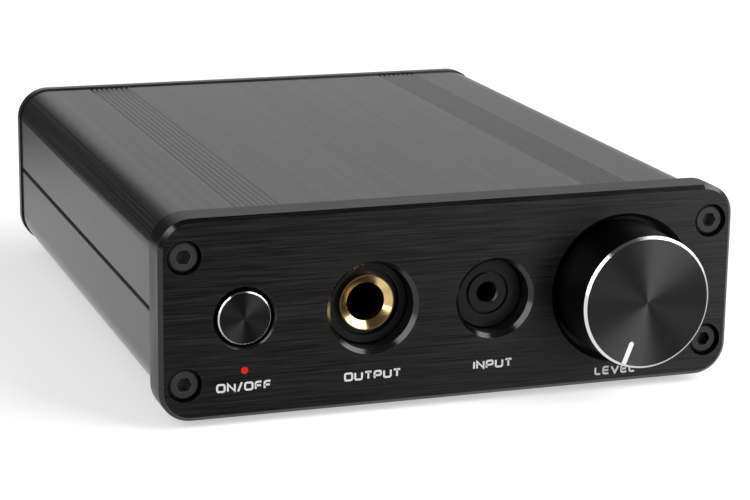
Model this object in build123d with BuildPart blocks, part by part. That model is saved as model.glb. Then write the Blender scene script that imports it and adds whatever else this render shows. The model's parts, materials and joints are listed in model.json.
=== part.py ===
from build123d import *
import os
from math import cos, radians, sin

# A desktop headphone amplifier, in millimetres. +Z is up and the controls face -Y. The origin is the
# centre of the amplifier's footprint on the surface that it stands on. Threads and solder are left out.

# ---- Housing ----
plate_width = 108.0
plate_height = 36.0
plate_thickness = 6.6
plate_corner = 5.8
plate_bevel = 0.75
plate_side_margin = 1.0  # the front plate stands this far proud of the shells at each side
plate_end_margin = 1.2  # and at top and bottom
shell_length = 121.0
shell_corner = 6.3
roof_thickness = 2.0
side_thickness = 2.8
rear_panel_thickness = 2.0
rear_panel_margin = 0.3

# ---- Seam between the two shells ----
seam_rise = 0.24  # above mid-height
seam_gap = 0.25
seam_round = 0.9
tongue_thickness = 1.3
tongue_height = 2.2
tongue_clearance = 0.1

# ---- Decorative flutes in the roof ----
flute_count = 8
flute_pitch = 1.11
flute_band_inset = 20.5  # from the front plate's side edge to the middle of a band
flute_depth = 0.16
flute_width = 1.0

# ---- Screws and the extruded channels that take them ----
screw_side_inset = 4.5  # from the front plate's side edge
screw_edge_inset = 6.67  # from its top and bottom edges
screw_radius = 1.5
screw_length = 10.0
screw_head_radius = 2.75
screw_head_height = 3.0
screw_head_bevel = 0.45
screw_key_radius = 1.44  # corner radius of a 2.5 mm hexagon key
screw_key_depth = 1.6
low_head_height = 1.65
screw_hole_clearance = 0.15
thread_clearance = 0.05
counterbore_clearance = 0.35
counterbore_floor = 3.0  # metal left under a screw head
channel_radius = 2.7
channel_slot = 1.2

# ---- Feet ----
foot_height = 2.7
foot_radius = 4.8
foot_side_inset = 13.0
foot_end_inset = 13.0

# ---- Controls on the front plate, seen from the front ----
control_drop = 0.1  # below mid-height
button_side_inset = 15.15  # from the front plate's side edge
knob_side_inset = 21.65
gap_shares = (0.467, 0.355, 0.178)  # of the free width between the four mouths, from the left
mouth_bevel = 0.75  # bright bevel round each recess
socket_floor = 1.4  # metal left behind the two socket recesses
ring_nut_thickness = 1.4
ring_nut_clearance = 0.1
ring_nut_bevel = 0.3

# ---- Volume knob and potentiometer ----
knob_radius = 12.15
knob_bevel = 0.5
knob_projection = 10.7
knob_gap = 1.0  # radial, to the wall of its recess
knob_recess_floor = 2.6
knob_end_gap = 1.4
knob_hollow_radius = 7.0
knob_hollow_gap = 0.6
knob_bore_depth = 7.0
knob_turn_clearance = 0.04
pointer_width = 0.9
pointer_inner_radius = 7.45
pointer_depth = 0.5
pointer_angle = 21.0  # from straight down, towards the left
shaft_radius = 3.0
shaft_flat = 0.5
bushing_radius = 3.5
bushing_projection = 3.5  # in front of the recess floor
bushing_plate = 9.6
bushing_plate_thickness = 1.2
bushing_hole_clearance = 0.1
pot_nut_across_flats = 10.0
pot_nut_thickness = 2.0
pot_case_width = 10.4
pot_case_length = 6.5
pot_case_wall = 1.0
shaft_end_clearance = 0.2
terminal_width = 0.8
terminal_spacing = 2.5
terminal_thickness = 0.3

# ---- Power button, switch and indicator ----
button_radius = 4.75
button_gap = 0.65
button_bevel = 0.35
button_hole_bevel = 0.3
button_projection = 0.2
button_length = 8.0
button_travel = 3.0
button_socket_depth = 4.0
stem_width = 3.0
stem_clearance = 0.1
switch_gap = 0.6
switch_width = 8.6
switch_wall = 1.1
slider_length = 4.5
slider_clearance = 0.2
slider_spare_travel = 0.6
light_pipe_radius = 0.62
light_pipe_clearance = 0.03
light_pipe_head_width = 1.9
light_pipe_head_length = 1.8
light_pipe_board_gap = 0.05
led_width = 3.0
led_length = 1.4
led_height = 1.4

# ---- Sockets ----
socket_height = 6.8  # from the top of the circuit board to the line of the controls
phone_recess_radius = 7.75
phone_bore_radius = 3.25
phone_ferrule_radius = 5.05
phone_ferrule_proud = 0.3
phone_funnel_radius = 4.85
phone_funnel_depth = 0.85
phone_throat_radius = 3.5
phone_throat_depth = 0.85
phone_nose_radius = 5.95
phone_nose_recess = 0.9
phone_nut_bore_radius = 6.1
phone_body_width = 15.5
phone_body_length = 27.0
phone_body_wall = 1.5
phone_ferrule_depth = 6.0
phone_cavity_width = 9.2
phone_contact_width = 2.0
line_recess_radius = 6.7
line_bore_radius = 1.8
line_mouth_bevel = 0.3
line_collar_radius = 3.6
line_thread_radius = 3.95
line_collar_length = 0.6
line_nut_bore_radius = 4.05
line_body_width = 9.0
line_body_length = 13.0
line_body_wall = 1.2
line_body_front = 3.0
line_cavity_width = 5.4
line_contact_width = 1.4
nose_clearance = 0.1
contact_thickness = 0.3
plug_clearance = 0.08

# ---- Rear panel ----
rca_side_inset = 33.0  # from the front plate's side edge to the middle of the pair
rca_spacing = 14.0
rca_radius = 4.15
rca_shell_wall = 0.55
rca_projection = 9.0
rca_base_radius = 4.6  # of the shell behind the rear panel's face
rca_hole_clearance = 0.15
rca_contact_radius = 2.1
rca_socket_radius = 1.62
rca_insulator_recess = 0.6
rca_contact_recess = 1.6
rca_seat_depth = 4.0
rca_housing_length = 9.0
rca_housing_margin = 2.3
dc_side_inset = 18.0  # from the front plate's side edge
dc_bore_radius = 2.85
dc_bore_depth = 10.0
dc_hole_margin = 0.4  # round the bore, in the rear panel
dc_pin_radius = 1.0
dc_pin_recess = 0.8
dc_tail_width = 1.0
dc_case_width = 9.0
dc_case_length = 12.0

# ---- Circuit board ----
board_thickness = 1.6
board_side_gap = 0.2  # to the screw channels
board_end_gap = 0.5
rail_overlap = 2.0  # over the board's edge
rail_thickness = 1.2
rail_clearance = 0.1

# ---- What stands on the circuit board ----
supply_offset = 5.0  # from the power inlet, towards the middle
capacitor_radius = 6.3
capacitor_height = 17.0
capacitor_spacing = 13.6
capacitor_inlet_gap = 14.0  # behind them, to the power inlet
heatsink_capacitor_gap = 8.0
heatsink_height = 17.0
heatsink_back_thickness = 2.2
fin_count = 7
fin_spacing = 3.6
fin_thickness = 1.2
fin_length = 9.0
regulator_width = 10.0
regulator_spacing = 12.0
regulator_height = 13.0
regulator_tab_thickness = 1.3
regulator_body_height = 8.6
regulator_body_thickness = 3.2
regulator_leg_height = 3.0
regulator_leg_width = 0.8
regulator_leg_thickness = 0.5
leg_spacing = 2.54
signal_offset = 9.0  # from the pair of phono sockets, outwards
film_width = 7.2
film_length = 3.5
film_height = 7.5
film_spacing = 11.0
film_row_spacing = 6.5
film_socket_gap = 23.0  # behind them, to the phono sockets
resistor_length = 3.2
resistor_width = 1.6
resistor_height = 0.55
resistor_spacing = 3.4
resistor_film_gap = 16.0
amplifier_offset = -15.0  # from the pair of phono sockets, towards the middle
amplifier_spacing = 16.0
amplifier_relay_gap = 17.0
chip_width = 6.4
chip_length = 9.6
chip_height = 3.4
chip_leg_width = 0.9
chip_leg_length = 0.6
chip_leg_height = 1.7
chip_socket_width = 10.0
chip_socket_length = 10.2
chip_socket_height = 4.2
chip_socket_opening_width = 4.0
chip_socket_opening_length = 6.6
relay_width = 15.0
relay_length = 7.4
relay_height = 10.0
relay_socket_gap = 17.0
choke_inlet_gap = 3.0  # beside the power inlet, towards the middle
choke_width = 8.0
choke_height = 7.2

# ---- Places worked out from the sizes above ----
shell_width = plate_width - 2 * plate_side_margin
shell_height = plate_height - 2 * plate_end_margin
inner_width = shell_width - 2 * side_thickness
inner_height = shell_height - 2 * roof_thickness
inner_corner = max(shell_corner - side_thickness, 0.5)
housing_depth = plate_thickness + shell_length + rear_panel_thickness
overall_depth = knob_projection + housing_depth + rca_projection
face_y = knob_projection - overall_depth / 2
plate_back_y = face_y + plate_thickness
shell_back_y = plate_back_y + shell_length
rear_face_y = shell_back_y + rear_panel_thickness
middle_z = foot_height + shell_height / 2
control_z = middle_z - control_drop
roof_z = foot_height + shell_height
seam_z = middle_z + seam_rise
lower_edge_z = seam_z - seam_gap
tongue_top_z = lower_edge_z + tongue_height
screw_x = plate_width / 2 - screw_side_inset
board_top_z = control_z - socket_height
board_bottom_z = board_top_z - board_thickness
board_front_y = plate_back_y + board_end_gap
board_back_y = shell_back_y - board_end_gap
board_width = 2 * (screw_x - channel_radius - board_side_gap)
board_middle_y = (board_front_y + board_back_y) / 2
screw_rise = plate_height / 2 - screw_edge_inset
lower_screws = [(side * screw_x, middle_z - screw_rise) for side in (-1, 1)]
upper_screws = [(side * screw_x, middle_z + screw_rise) for side in (-1, 1)]
tapped_radius = screw_radius + thread_clearance
counterbore_radius = screw_head_radius + counterbore_clearance
screw_seat_y = plate_back_y - counterbore_floor
socket_floor_y = plate_back_y - socket_floor
nut_face_y = socket_floor_y - ring_nut_thickness
knob_recess_radius = knob_radius + knob_gap
button_hole_radius = button_radius + button_gap
button_mouth_radius = button_hole_radius + button_hole_bevel
phone_mouth_radius = phone_recess_radius + mouth_bevel
line_mouth_radius = line_recess_radius + mouth_bevel
knob_mouth_radius = knob_recess_radius + mouth_bevel
button_x = button_side_inset - plate_width / 2
knob_x = plate_width / 2 - knob_side_inset
mouth_widths = button_mouth_radius + 2 * phone_mouth_radius + 2 * line_mouth_radius + knob_mouth_radius
free_width = knob_x - button_x - mouth_widths
phone_x = button_x + button_mouth_radius + gap_shares[0] * free_width + phone_mouth_radius
line_x = knob_x - knob_mouth_radius - gap_shares[2] * free_width - line_mouth_radius
rca_x = plate_width / 2 - rca_side_inset
dc_x = dc_side_inset - plate_width / 2
flute_band_x = plate_width / 2 - flute_band_inset
knob_recess_y = plate_back_y - knob_recess_floor
knob_front_y = face_y - knob_projection
knob_back_y = knob_recess_y - knob_end_gap
bushing_front_y = knob_recess_y - bushing_projection
knob_hollow_y = bushing_front_y - knob_hollow_gap
shaft_front_y = knob_hollow_y - knob_bore_depth
button_front_y = face_y - button_projection
button_back_y = button_front_y + button_length
switch_front_y = button_back_y + button_travel + switch_gap
slider_front_y = switch_front_y + switch_wall + slider_clearance
switch_floor_y = slider_front_y + slider_length + button_travel + slider_spare_travel
indicator_z = board_bottom_z - light_pipe_board_gap - light_pipe_head_width / 2


# A sketch plane that faces the user, at a given depth: sketch x is X, sketch y is Z.
def facing(depth):
    return Plane(origin=(0, depth, 0), x_dir=(1, 0, 0), z_dir=(0, -1, 0))


# The places of holes that are cut into a face from the user's side.
def holes_at(depth, points):
    return [facing(depth).location * Location((x, z, 0)) for x, z in points]


# The half-plane for a turned piece: sketch x is depth, sketch y is the radius.
def turning_plane(x, z):
    return Plane(origin=(x, 0, z), x_dir=(0, 1, 0), z_dir=(1, 0, 0))


def turning_axis(x, z):
    return Axis((x, 0, z), (0, 1, 0))


# The circular edges of one radius on the foremost face of a piece.
def mouth_edges(piece, radius):
    front_face = piece.faces().sort_by(Axis.Y)[0]
    rings = front_face.edges().filter_by(GeomType.CIRCLE)
    return rings.filter_by(lambda edge: abs(edge.radius - radius) < 1e-4)


# ==== Front plate: a milled slab with four recesses and counterbored screw holes ====
with BuildPart() as front_panel:
    with BuildSketch(facing(plate_back_y)):
        with Locations((0, middle_z)):
            RectangleRounded(plate_width, plate_height, plate_corner)
    extrude(amount=plate_thickness)
    chamfer(front_panel.faces().sort_by(Axis.Y)[0].edges(), plate_bevel)
    with Locations(*holes_at(face_y, lower_screws + upper_screws)):
        CounterBoreHole(
            screw_radius + screw_hole_clearance,
            counterbore_radius,
            plate_thickness - counterbore_floor,
            plate_thickness,
        )
    with Locations(*holes_at(face_y, [(button_x, control_z)])):
        Hole(button_hole_radius, plate_thickness)
    with Locations(*holes_at(face_y, [(phone_x, control_z)])):
        CounterBoreHole(
            phone_nose_radius + nose_clearance,
            phone_recess_radius,
            plate_thickness - socket_floor,
            plate_thickness,
        )
    with Locations(*holes_at(face_y, [(line_x, control_z)])):
        CounterBoreHole(
            line_thread_radius + nose_clearance,
            line_recess_radius,
            plate_thickness - socket_floor,
            plate_thickness,
        )
    with Locations(*holes_at(face_y, [(knob_x, control_z)])):
        CounterBoreHole(
            bushing_radius + bushing_hole_clearance,
            knob_recess_radius,
            plate_thickness - knob_recess_floor,
            plate_thickness,
        )
    with Locations(*holes_at(face_y, [(button_x, indicator_z)])):
        Hole(light_pipe_radius + light_pipe_clearance, plate_thickness)
    for recess_radius in (phone_recess_radius, line_recess_radius, knob_recess_radius):
        chamfer(mouth_edges(front_panel, recess_radius), mouth_bevel)
    chamfer(mouth_edges(front_panel, button_hole_radius), button_hole_bevel)

# ==== Upper shell: an extrusion with fluted roof, screw channels and a rebated lower edge ====
with BuildPart() as top_shell:
    with BuildSketch(facing(shell_back_y)):
        with Locations((0, middle_z)):
            RectangleRounded(shell_width, shell_height, shell_corner)
            RectangleRounded(inner_width, inner_height, inner_corner, mode=Mode.SUBTRACT)
        with Locations(*upper_screws):
            Circle(channel_radius)
        for x, z in upper_screws:
            with Locations((x, z)):
                Circle(tapped_radius, mode=Mode.SUBTRACT)
            with Locations((x - (channel_radius if x > 0 else -channel_radius), z)):
                Rectangle(2 * channel_radius, channel_slot, mode=Mode.SUBTRACT)
        with Locations((0, seam_z)):
            Rectangle(plate_width, shell_height, align=(Align.CENTER, Align.MIN), mode=Mode.INTERSECT)
        rebate_width = inner_width + 2 * (tongue_thickness + tongue_clearance)
        with Locations((0, seam_z)):
            Rectangle(
                rebate_width,
                tongue_top_z - seam_z,
                align=(Align.CENTER, Align.MIN),
                mode=Mode.SUBTRACT,
            )
        for band_x in (-flute_band_x, flute_band_x):
            with Locations((band_x, roof_z)):
                with GridLocations(flute_pitch, flute_pitch, flute_count, 1):
                    Polygon(
                        (-flute_width / 2, 0),
                        (0, -flute_depth),
                        (flute_width / 2, 0),
                        align=None,
                        mode=Mode.SUBTRACT,
                    )
    extrude(amount=shell_length)

# ==== Lower shell: the matching extrusion, with a tongue at each side and rails for the board ====
with BuildPart() as bottom_shell:
    with BuildSketch(facing(shell_back_y)) as lower_section:
        with Locations((0, middle_z)):
            RectangleRounded(shell_width, shell_height, shell_corner)
            RectangleRounded(inner_width, inner_height, inner_corner, mode=Mode.SUBTRACT)
        with Locations((0, lower_edge_z)):
            Rectangle(plate_width, shell_height, align=(Align.CENTER, Align.MAX), mode=Mode.INTERSECT)
        for side in (-1, 1):
            corner = lower_section.vertices().sort_by(Axis.X)[0 if side < 0 else -1]
            rim = lower_section.vertices().filter_by_position(Axis.X, corner.X - 0.01, corner.X + 0.01)
            fillet(rim.sort_by(Axis.Y)[-1], seam_round)
        for side in (-1, 1):
            with Locations((side * (inner_width + tongue_thickness) / 2, tongue_top_z)):
                Rectangle(tongue_thickness, 2 * tongue_height, align=(Align.CENTER, Align.MAX))
        rail_edge_x = board_width / 2 - rail_overlap
        rail_root_x = (inner_width + side_thickness) / 2
        for side in (-1, 1):
            for rail_z in (board_bottom_z - rail_thickness, board_top_z + rail_clearance):
                with Locations((side * (rail_edge_x + rail_root_x) / 2, rail_z)):
                    Rectangle(
                        rail_root_x - rail_edge_x,
                        rail_thickness,
                        align=(Align.CENTER, Align.MIN),
                    )
        for x, z in lower_screws:
            inward = -1 if x > 0 else 1
            with Locations((x, z)):
                Circle(channel_radius)
                Circle(tapped_radius, mode=Mode.SUBTRACT)
            with Locations((x + inward * channel_radius, z)):
                Rectangle(2 * channel_radius, channel_slot, mode=Mode.SUBTRACT)
    extrude(amount=shell_length)

# ==== Rear panel ====
rca_points = [(rca_x + side * rca_spacing / 2, control_z) for side in (-1, 1)]
with BuildPart() as rear_panel:
    with BuildSketch(facing(rear_face_y)):
        with Locations((0, middle_z)):
            RectangleRounded(
                shell_width + 2 * rear_panel_margin,
                shell_height + 2 * rear_panel_margin,
                shell_corner + rear_panel_margin,
            )
        with Locations(*(lower_screws + upper_screws)):
            Circle(screw_radius + screw_hole_clearance, mode=Mode.SUBTRACT)
        with Locations(*rca_points):
            Circle(rca_base_radius + rca_hole_clearance, mode=Mode.SUBTRACT)
        with Locations((dc_x, control_z)):
            Circle(dc_bore_radius + dc_hole_margin, mode=Mode.SUBTRACT)
    extrude(amount=rear_panel_thickness)

# ==== Front screws: socket cap heads, sunk in the plate ====
with BuildPart() as front_screws:
    with BuildSketch(facing(screw_seat_y)):
        with Locations(*(lower_screws + upper_screws)):
            Circle(screw_head_radius)
    extrude(amount=screw_head_height)
    head_tops = front_screws.faces().group_by(Axis.Y)[0]
    chamfer(head_tops.edges(), screw_head_bevel)
    with BuildSketch(facing(screw_seat_y)):
        with Locations(*(lower_screws + upper_screws)):
            Circle(screw_radius)
    extrude(amount=-screw_length)
    with BuildSketch(facing(screw_seat_y - screw_head_height)):
        with Locations(*(lower_screws + upper_screws)):
            RegularPolygon(screw_key_radius, 6)
    extrude(amount=-screw_key_depth, mode=Mode.SUBTRACT)

# ==== Rear screws: low heads on the rear panel ====
with BuildPart() as rear_screws:
    with BuildSketch(facing(rear_face_y)):
        with Locations(*(lower_screws + upper_screws)):
            Circle(screw_head_radius)
    extrude(amount=-low_head_height)
    with BuildSketch(facing(rear_face_y)):
        with Locations(*(lower_screws + upper_screws)):
            Circle(screw_radius)
    extrude(amount=screw_length)
    with BuildSketch(facing(rear_face_y + low_head_height)):
        with Locations(*(lower_screws + upper_screws)):
            RegularPolygon(screw_key_radius, 6)
    extrude(amount=screw_key_depth / 2, mode=Mode.SUBTRACT)

# ==== Rubber feet ====
foot_x = plate_width / 2 - foot_side_inset
foot_front_y = plate_back_y + foot_end_inset
foot_back_y = shell_back_y - foot_end_inset
with BuildPart() as rubber_feet:
    with Locations(*[(x, y, 0) for x in (-foot_x, foot_x) for y in (foot_front_y, foot_back_y)]):
        Cylinder(foot_radius, foot_height, align=(Align.CENTER, Align.CENTER, Align.MIN))

# ==== Volume knob: turned, hollow behind, with a diamond-cut rim and a bore with a flat ====
knob_axis = turning_axis(knob_x, control_z)
pointer_direction = -90 - pointer_angle
pointer_end_radius = knob_radius + pointer_width
pointer_length = pointer_end_radius - pointer_inner_radius
pointer_middle = (pointer_end_radius + pointer_inner_radius) / 2
pointer_place = (
    knob_x + pointer_middle * cos(radians(pointer_direction)),
    control_z + pointer_middle * sin(radians(pointer_direction)),
)
with BuildPart() as volume_knob:
    with BuildSketch(turning_plane(knob_x, control_z)):
        with BuildLine():
            Polyline(
                (knob_front_y, 0),
                (knob_front_y, knob_radius - knob_bevel),
                (knob_front_y + knob_bevel, knob_radius),
                (knob_back_y, knob_radius),
                (knob_back_y, knob_hollow_radius),
                (knob_hollow_y, knob_hollow_radius),
                (knob_hollow_y, 0),
                close=True,
            )
        make_face()
    revolve(axis=knob_axis)
    with BuildSketch(facing(knob_hollow_y)):
        with Locations(Location((knob_x, control_z, 0), (0, 0, pointer_direction))):
            Circle(shaft_radius)
            with Locations((2 * shaft_radius - shaft_flat, 0)):
                Rectangle(2 * shaft_radius, 2 * shaft_radius, mode=Mode.SUBTRACT)
    extrude(amount=knob_bore_depth, mode=Mode.SUBTRACT)
    with BuildSketch(facing(knob_front_y)):
        with Locations(Location(pointer_place + (0,), (0, 0, pointer_direction))):
            SlotOverall(pointer_length, pointer_width)
    extrude(amount=-pointer_depth, mode=Mode.SUBTRACT)

# ==== Pointer: the white line set into the knob's slot ====
with BuildPart() as knob_pointer:
    with BuildSketch(turning_plane(knob_x, control_z)):
        with BuildLine():
            Polyline(
                (knob_front_y, 0),
                (knob_front_y, knob_radius - knob_bevel),
                (knob_front_y + pointer_depth, knob_radius - knob_bevel + pointer_depth),
                (knob_front_y + pointer_depth, 0),
                close=True,
            )
        make_face()
    revolve(axis=knob_axis)
    with BuildSketch(facing(knob_front_y + pointer_depth)):
        with Locations(Location(pointer_place + (0,), (0, 0, pointer_direction))):
            SlotOverall(pointer_length, pointer_width)
    extrude(amount=pointer_depth, mode=Mode.INTERSECT)

# ==== Potentiometer shaft, with a flat that turns with the knob ====
flange_back_y = plate_back_y + bushing_plate_thickness
pot_back_y = flange_back_y + pot_case_length
shaft_back_y = pot_back_y - pot_case_wall - shaft_end_clearance
with BuildPart() as pot_shaft:
    with BuildSketch(facing(shaft_back_y)):
        with Locations((knob_x, control_z)):
            Circle(shaft_radius)
    extrude(amount=shaft_back_y - bushing_front_y)
    with BuildSketch(facing(bushing_front_y)):
        with Locations(Location((knob_x, control_z, 0), (0, 0, pointer_direction))):
            Circle(shaft_radius)
            with Locations((2 * shaft_radius - shaft_flat, 0)):
                Rectangle(2 * shaft_radius, 2 * shaft_radius, mode=Mode.SUBTRACT)
    extrude(amount=bushing_front_y - shaft_front_y)

# ==== Potentiometer: bushing, nut, case and terminals ====
with BuildPart() as pot_bushing:
    with BuildSketch(facing(plate_back_y)):
        with Locations((knob_x, control_z)):
            Circle(bushing_radius)
    extrude(amount=plate_back_y - bushing_front_y)
    with BuildSketch(facing(flange_back_y)):
        with Locations((knob_x, control_z)):
            Rectangle(bushing_plate, bushing_plate)
    extrude(amount=bushing_plate_thickness)
    with BuildSketch(facing(flange_back_y)):
        with Locations((knob_x, control_z)):
            Circle(shaft_radius + knob_turn_clearance)
    extrude(amount=flange_back_y - bushing_front_y, mode=Mode.SUBTRACT)

with BuildPart() as pot_nut:
    with BuildSketch(facing(knob_recess_y)):
        with Locations((knob_x, control_z)):
            RegularPolygon(pot_nut_across_flats / 2, 6, major_radius=False)
            Circle(bushing_radius + thread_clearance, mode=Mode.SUBTRACT)
    extrude(amount=pot_nut_thickness)

with BuildPart() as pot_case:
    with BuildSketch(facing(pot_back_y)):
        with Locations((knob_x, board_top_z)):
            Rectangle(
                pot_case_width,
                socket_height + pot_case_width / 2,
                align=(Align.CENTER, Align.MIN),
            )
    extrude(amount=pot_case_length)
    with BuildSketch(facing(pot_back_y - pot_case_wall)):
        with Locations((knob_x, control_z)):
            Circle(shaft_radius + knob_turn_clearance)
    extrude(amount=pot_case_length - pot_case_wall, mode=Mode.SUBTRACT)

with BuildPart() as pot_terminals:
    with BuildSketch(facing(pot_back_y + terminal_thickness)):
        with Locations((knob_x, board_top_z)):
            with GridLocations(terminal_spacing, terminal_spacing, 3, 1):
                Rectangle(terminal_width, socket_height / 2, align=(Align.CENTER, Align.MIN))
    extrude(amount=terminal_thickness)

# ==== Power button: turned cap with a bright rim, pushed onto the switch's stem ====
with BuildPart() as power_button:
    with BuildSketch(facing(button_back_y)):
        with Locations((button_x, control_z)):
            Circle(button_radius)
    extrude(amount=button_length)
    chamfer(power_button.faces().sort_by(Axis.Y)[0].edges(), button_bevel)
    with BuildSketch(facing(button_back_y)):
        with Locations((button_x, control_z)):
            Rectangle(stem_width, stem_width)
    extrude(amount=button_socket_depth, mode=Mode.SUBTRACT)

# ==== Push switch: case and sliding plunger ====
slider_width = switch_width - 2 * switch_wall - 2 * slider_clearance
slider_back_y = slider_front_y + slider_length
switch_back_y = switch_floor_y + switch_wall
with BuildPart() as switch_case:
    with BuildSketch(facing(switch_back_y)):
        with Locations((button_x, board_top_z)):
            Rectangle(
                switch_width,
                socket_height + switch_width / 2,
                align=(Align.CENTER, Align.MIN),
            )
    extrude(amount=switch_back_y - switch_front_y)
    with BuildSketch(facing(switch_floor_y)):
        with Locations((button_x, control_z)):
            Rectangle(switch_width - 2 * switch_wall, switch_width - 2 * switch_wall)
    extrude(amount=switch_floor_y - switch_front_y - switch_wall, mode=Mode.SUBTRACT)
    with BuildSketch(facing(switch_front_y + switch_wall)):
        with Locations((button_x, control_z)):
            Rectangle(stem_width + 2 * stem_clearance, stem_width + 2 * stem_clearance)
    extrude(amount=switch_wall, mode=Mode.SUBTRACT)

with BuildPart() as switch_plunger:
    with BuildSketch(facing(slider_front_y)):
        with Locations((button_x, control_z)):
            Rectangle(stem_width, stem_width)
    extrude(amount=slider_front_y - button_back_y + button_socket_depth)
    with BuildSketch(facing(slider_back_y)):
        with Locations((button_x, control_z)):
            Rectangle(slider_width, slider_width)
    extrude(amount=slider_length)

# ==== Power indicator: a lamp under the board shines through a light pipe ====
light_pipe_back_y = plate_back_y + light_pipe_head_length
with BuildPart() as light_pipe:
    with BuildSketch(facing(plate_back_y)):
        with Locations((button_x, indicator_z)):
            Circle(light_pipe_radius)
    extrude(amount=plate_thickness)
    with BuildSketch(facing(light_pipe_back_y)):
        with Locations((button_x, indicator_z)):
            Rectangle(light_pipe_head_width, light_pipe_head_width)
    extrude(amount=light_pipe_head_length)

with BuildPart() as power_led:
    with BuildSketch(facing(light_pipe_back_y + led_length)):
        with Locations((button_x, board_bottom_z)):
            Rectangle(led_width, led_height, align=(Align.CENTER, Align.MAX))
    extrude(amount=led_length)

# ==== Headphone socket, for a 6.35 mm plug ====
phone_axis = turning_axis(phone_x, control_z)
ferrule_front_y = nut_face_y - phone_ferrule_proud
ferrule_back_y = plate_back_y + phone_ferrule_depth
phone_nose_y = nut_face_y + phone_nose_recess
phone_body_y = plate_back_y + phone_body_length
with BuildPart() as phone_jack_ferrule:
    with BuildSketch(turning_plane(phone_x, control_z)):
        with BuildLine():
            Polyline(
                (ferrule_front_y, phone_ferrule_radius),
                (ferrule_front_y, phone_funnel_radius),
                (ferrule_front_y + phone_funnel_depth, phone_throat_radius),
                (ferrule_front_y + phone_funnel_depth + phone_throat_depth, phone_bore_radius),
                (ferrule_back_y, phone_bore_radius),
                (ferrule_back_y, phone_ferrule_radius),
                close=True,
            )
        make_face()
    revolve(axis=phone_axis)

with BuildPart() as phone_jack_nut:
    with BuildSketch(facing(socket_floor_y)):
        with Locations((phone_x, control_z)):
            Circle(phone_recess_radius - ring_nut_clearance)
            Circle(phone_nut_bore_radius, mode=Mode.SUBTRACT)
    extrude(amount=ring_nut_thickness)
    chamfer(phone_jack_nut.faces().sort_by(Axis.Y)[0].outer_wire().edges(), ring_nut_bevel)

with BuildPart() as phone_jack_body:
    with BuildSketch(facing(phone_body_y)):
        with Locations((phone_x, board_top_z)):
            Rectangle(phone_body_width, 2 * socket_height, align=(Align.CENTER, Align.MIN))
    extrude(amount=phone_body_length)
    with BuildSketch(facing(plate_back_y)):
        with Locations((phone_x, control_z)):
            Circle(phone_nose_radius)
    extrude(amount=plate_back_y - phone_nose_y)
    with BuildSketch(facing(ferrule_back_y)):
        with Locations((phone_x, control_z)):
            Circle(phone_ferrule_radius)
    extrude(amount=ferrule_back_y - phone_nose_y, mode=Mode.SUBTRACT)
    with BuildSketch(facing(phone_body_y - phone_body_wall)):
        with Locations((phone_x, control_z)):
            Rectangle(phone_cavity_width, phone_cavity_width)
    extrude(amount=phone_body_y - phone_body_wall - ferrule_back_y, mode=Mode.SUBTRACT)


# The side outline of a leaf contact that lies on the floor of a socket's cavity and rises to the plug.
def leaf_outline(start, pitch, floor_z, plug_z):
    rise = start + 0.45 * pitch
    touch = start + 0.7 * pitch
    tip = start + 0.85 * pitch
    return [
        (start, floor_z),
        (rise, floor_z),
        (touch, plug_z - contact_thickness),
        (tip, plug_z - contact_thickness),
        (tip, plug_z),
        (touch, plug_z),
        (rise, floor_z + contact_thickness),
        (start, floor_z + contact_thickness),
    ]


phone_leaf_count = 3
phone_leaf_y = ferrule_back_y + contact_thickness
phone_leaf_pitch = (phone_body_y - phone_body_wall - phone_leaf_y) / phone_leaf_count
with BuildPart() as phone_jack_contacts:
    with BuildSketch(Plane.YZ.offset(phone_x - phone_contact_width / 2)):
        for place in range(phone_leaf_count):
            with BuildLine():
                Polyline(
                    leaf_outline(
                        phone_leaf_y + place * phone_leaf_pitch,
                        phone_leaf_pitch,
                        control_z - phone_cavity_width / 2,
                        control_z - phone_bore_radius - plug_clearance,
                    ),
                    close=True,
                )
            make_face()
    extrude(amount=phone_contact_width)

# ==== Line input socket, for a 3.5 mm plug ====
line_axis = turning_axis(line_x, control_z)
line_body_y = plate_back_y + line_body_length
line_cavity_y = plate_back_y + line_body_front
with BuildPart() as line_jack_collar:
    with BuildSketch(turning_plane(line_x, control_z)):
        with BuildLine():
            Polyline(
                (nut_face_y, line_collar_radius),
                (nut_face_y, line_bore_radius + line_mouth_bevel),
                (nut_face_y + line_mouth_bevel, line_bore_radius),
                (line_cavity_y, line_bore_radius),
                (line_cavity_y, line_thread_radius),
                (nut_face_y + line_collar_length, line_thread_radius),
                (nut_face_y + line_collar_length, line_collar_radius),
                close=True,
            )
        make_face()
    revolve(axis=line_axis)

with BuildPart() as line_jack_nut:
    with BuildSketch(facing(socket_floor_y)):
        with Locations((line_x, control_z)):
            Circle(line_recess_radius - ring_nut_clearance)
            Circle(line_nut_bore_radius, mode=Mode.SUBTRACT)
    extrude(amount=ring_nut_thickness)
    chamfer(line_jack_nut.faces().sort_by(Axis.Y)[0].outer_wire().edges(), ring_nut_bevel)

with BuildPart() as line_jack_body:
    with BuildSketch(facing(line_body_y)):
        with Locations((line_x, board_top_z)):
            Rectangle(
                line_body_width,
                socket_height + line_body_width / 2,
                align=(Align.CENTER, Align.MIN),
            )
    extrude(amount=line_body_length)
    with BuildSketch(facing(line_cavity_y)):
        with Locations((line_x, control_z)):
            Circle(line_thread_radius)
    extrude(amount=line_body_front, mode=Mode.SUBTRACT)
    with BuildSketch(facing(line_body_y - line_body_wall)):
        with Locations((line_x, control_z)):
            Rectangle(line_cavity_width, line_cavity_width)
    extrude(amount=line_body_y - line_body_wall - line_cavity_y, mode=Mode.SUBTRACT)

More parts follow.
